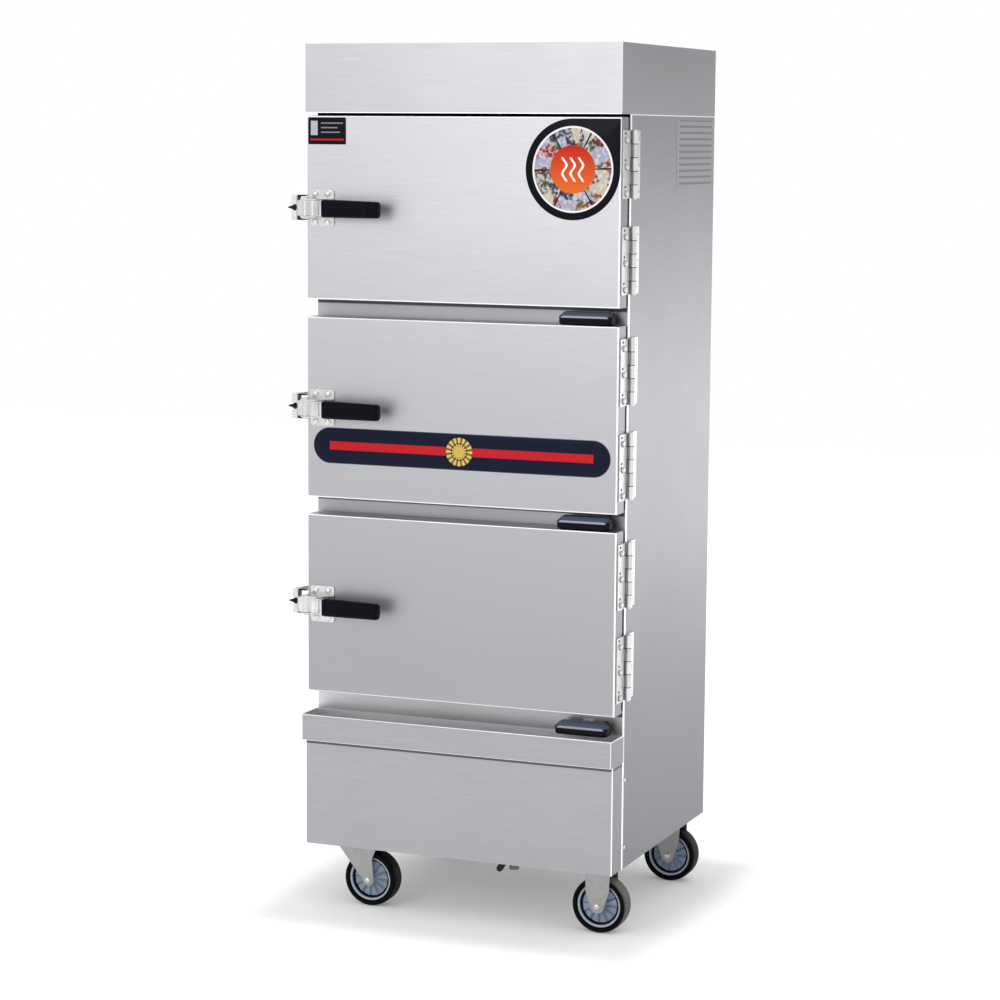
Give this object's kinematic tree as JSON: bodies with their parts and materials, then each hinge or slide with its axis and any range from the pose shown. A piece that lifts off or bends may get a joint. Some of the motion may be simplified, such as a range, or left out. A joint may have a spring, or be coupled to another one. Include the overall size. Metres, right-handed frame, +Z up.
{
  "type": "three-door steam cabinet",
  "caption": "Tall stainless steam cabinet on casters: insulated side-hinged doors with lever latches over tray chambers, steam dampers, drip trough, water tank and drain.",
  "frame": {"origin": "on the floor, under the centre of the whole outline, latches and rear pipes included", "axes": "+X to the right seen from the front (hinge side), +Y to the back, +Z up"},
  "size_m": [0.775, 0.6866, 1.858],
  "materials": {
    "casing_sheet": "satin",
    "inner_sheet": "satin",
    "hinge_steel": "satin",
    "latch_steel": "satin",
    "screw_steel": "gloss",
    "heater_tube": "satin",
    "float_steel": "gloss",
    "fork_zinc": "satin",
    "brass_fitting": "satin",
    "drain_grey": "satin",
    "drain_black": "satin",
    "gland_plastic": "matte",
    "grip_plastic": "satin",
    "damper_black": "gloss",
    "door_seal": "matte",
    "foam": "matte",
    "caster_rubber": "satin",
    "wheel_grey": "satin",
    "badge_film": "gloss"
  },
  "bodies": {
    "root": {"back_panel": "casing_sheet", "base_pan": "inner_sheet", "cable_gland": "gland_plastic", "damper_guides": "inner_sheet", "drain_valve": "drain_grey", "drip_trough": "casing_sheet", "fasteners": "screw_steel", "float_valve": "brass_fitting", "front_frame": "casing_sheet", "heating_elements": "heater_tube", "hinge_body_leaves": "hinge_steel", "insulation": "foam", "latch_keepers": "latch_steel", "left_side_panel": "casing_sheet", "lower_cover": "casing_sheet", "lower_liner": "inner_sheet", "middle_liner": "inner_sheet", "right_side_panel": "casing_sheet", "rigid_caster_forks": "fork_zinc", "steam_trays": "inner_sheet", "swivel_caster_plates": "fork_zinc", "top_cap": "casing_sheet", "tray_racks": "inner_sheet", "upper_liner": "inner_sheet", "water_tank": "inner_sheet"},
    "lower_door": {"lower_door_shell": "casing_sheet", "lower_door_liner": "inner_sheet", "lower_door_core": "foam", "lower_door_gasket": "door_seal", "lower_door_hinges": "hinge_steel", "lower_latch_base": "latch_steel"},
    "lower_latch": {"lower_latch_lever": "latch_steel", "lower_latch_grip": "grip_plastic"},
    "lower_damper": {"lower_steam_damper": "damper_black"},
    "middle_door": {"middle_door_shell": "casing_sheet", "middle_door_liner": "inner_sheet", "middle_door_core": "foam", "middle_door_gasket": "door_seal", "middle_door_hinges": "hinge_steel", "middle_latch_base": "latch_steel"},
    "middle_latch": {"middle_latch_lever": "latch_steel", "middle_latch_grip": "grip_plastic"},
    "middle_damper": {"middle_steam_damper": "damper_black"},
    "upper_door": {"upper_door_shell": "casing_sheet", "upper_door_liner": "inner_sheet", "upper_door_core": "foam", "upper_door_gasket": "door_seal", "upper_door_hinges": "hinge_steel", "upper_latch_base": "latch_steel"},
    "upper_latch": {"upper_latch_lever": "latch_steel", "upper_latch_grip": "grip_plastic"},
    "upper_damper": {"upper_steam_damper": "damper_black"},
    "front_swivel": {"front_swivel_fork": "fork_zinc"},
    "front_left_roller": {"front_left_wheel": "caster_rubber"},
    "front_right_roller": {"front_right_wheel": "caster_rubber"},
    "rear_swivel": {"rear_swivel_fork": "fork_zinc"},
    "rear_left_roller": {"rear_left_wheel": "caster_rubber"},
    "rear_right_roller": {"rear_right_wheel": "caster_rubber"},
    "drain_handle": {"drain_lever": "drain_black"},
    "float": {"float_arm": "float_steel"}
  },
  "joints": [
    {"name": "lower_door_hinge", "type": "hinge", "parent": "root", "child": "lower_door", "pos_m": [0.376, -0.22675, 0.6665], "axis": [0, 0, 1], "range_deg": [0, 180]},
    {"name": "lower_latch_turn", "type": "hinge", "parent": "lower_door", "child": "lower_latch", "pos_m": [-0.3275, -0.31275, 0.6665], "axis": [0, 0, 1], "range_deg": [-95, 0]},
    {"name": "lower_damper_pull", "type": "slide", "parent": "root", "child": "lower_damper", "axis": [0, -1, 0], "range_m": [0, 0.052]},
    {"name": "middle_door_hinge", "type": "hinge", "parent": "root", "child": "middle_door", "pos_m": [0.376, -0.22675, 1.0905], "axis": [0, 0, 1], "range_deg": [0, 180]},
    {"name": "middle_latch_turn", "type": "hinge", "parent": "middle_door", "child": "middle_latch", "pos_m": [-0.3275, -0.31275, 1.0905], "axis": [0, 0, 1], "range_deg": [-95, 0]},
    {"name": "middle_damper_pull", "type": "slide", "parent": "root", "child": "middle_damper", "axis": [0, -1, 0], "range_m": [0, 0.052]},
    {"name": "upper_door_hinge", "type": "hinge", "parent": "root", "child": "upper_door", "pos_m": [0.376, -0.22675, 1.5145], "axis": [0, 0, 1], "range_deg": [0, 180]},
    {"name": "upper_latch_turn", "type": "hinge", "parent": "upper_door", "child": "upper_latch", "pos_m": [-0.3275, -0.31275, 1.5145], "axis": [0, 0, 1], "range_deg": [-95, 0]},
    {"name": "upper_damper_pull", "type": "slide", "parent": "root", "child": "upper_damper", "axis": [0, -1, 0], "range_m": [0, 0.052]},
    {"name": "front_caster_swivel", "type": "hinge", "parent": "root", "child": "front_swivel", "pos_m": [-0.2405, -0.23675, 0.133], "axis": [0, 0, 1], "continuous": true},
    {"name": "front_left_wheel_spin", "type": "hinge", "parent": "front_swivel", "child": "front_left_roller", "pos_m": [-0.2035, -0.23675, 0.06], "axis": [0, 1, 0], "continuous": true},
    {"name": "front_right_wheel_spin", "type": "hinge", "parent": "root", "child": "front_right_roller", "pos_m": [0.3275, -0.23675, 0.06], "axis": [0, 1, 0], "continuous": true},
    {"name": "rear_caster_swivel", "type": "hinge", "parent": "root", "child": "rear_swivel", "pos_m": [-0.2405, 0.22225, 0.133], "axis": [0, 0, 1], "continuous": true},
    {"name": "rear_left_wheel_spin", "type": "hinge", "parent": "rear_swivel", "child": "rear_left_roller", "pos_m": [-0.2035, 0.22225, 0.06], "axis": [0, 1, 0], "continuous": true},
    {"name": "rear_right_wheel_spin", "type": "hinge", "parent": "root", "child": "rear_right_roller", "pos_m": [0.3275, 0.22225, 0.06], "axis": [0, 1, 0], "continuous": true},
    {"name": "drain_lever_turn", "type": "hinge", "parent": "root", "child": "drain_handle", "pos_m": [0.0945, -0.17825, 0.131], "axis": [0, 1, 0], "range_deg": [-33, 57]},
    {"name": "float_arm_lift", "type": "hinge", "parent": "root", "child": "float", "pos_m": [-0.2055, 0.18675, 0.3], "axis": [-1, 0, 0], "range_deg": [0, 25]}
  ]
}
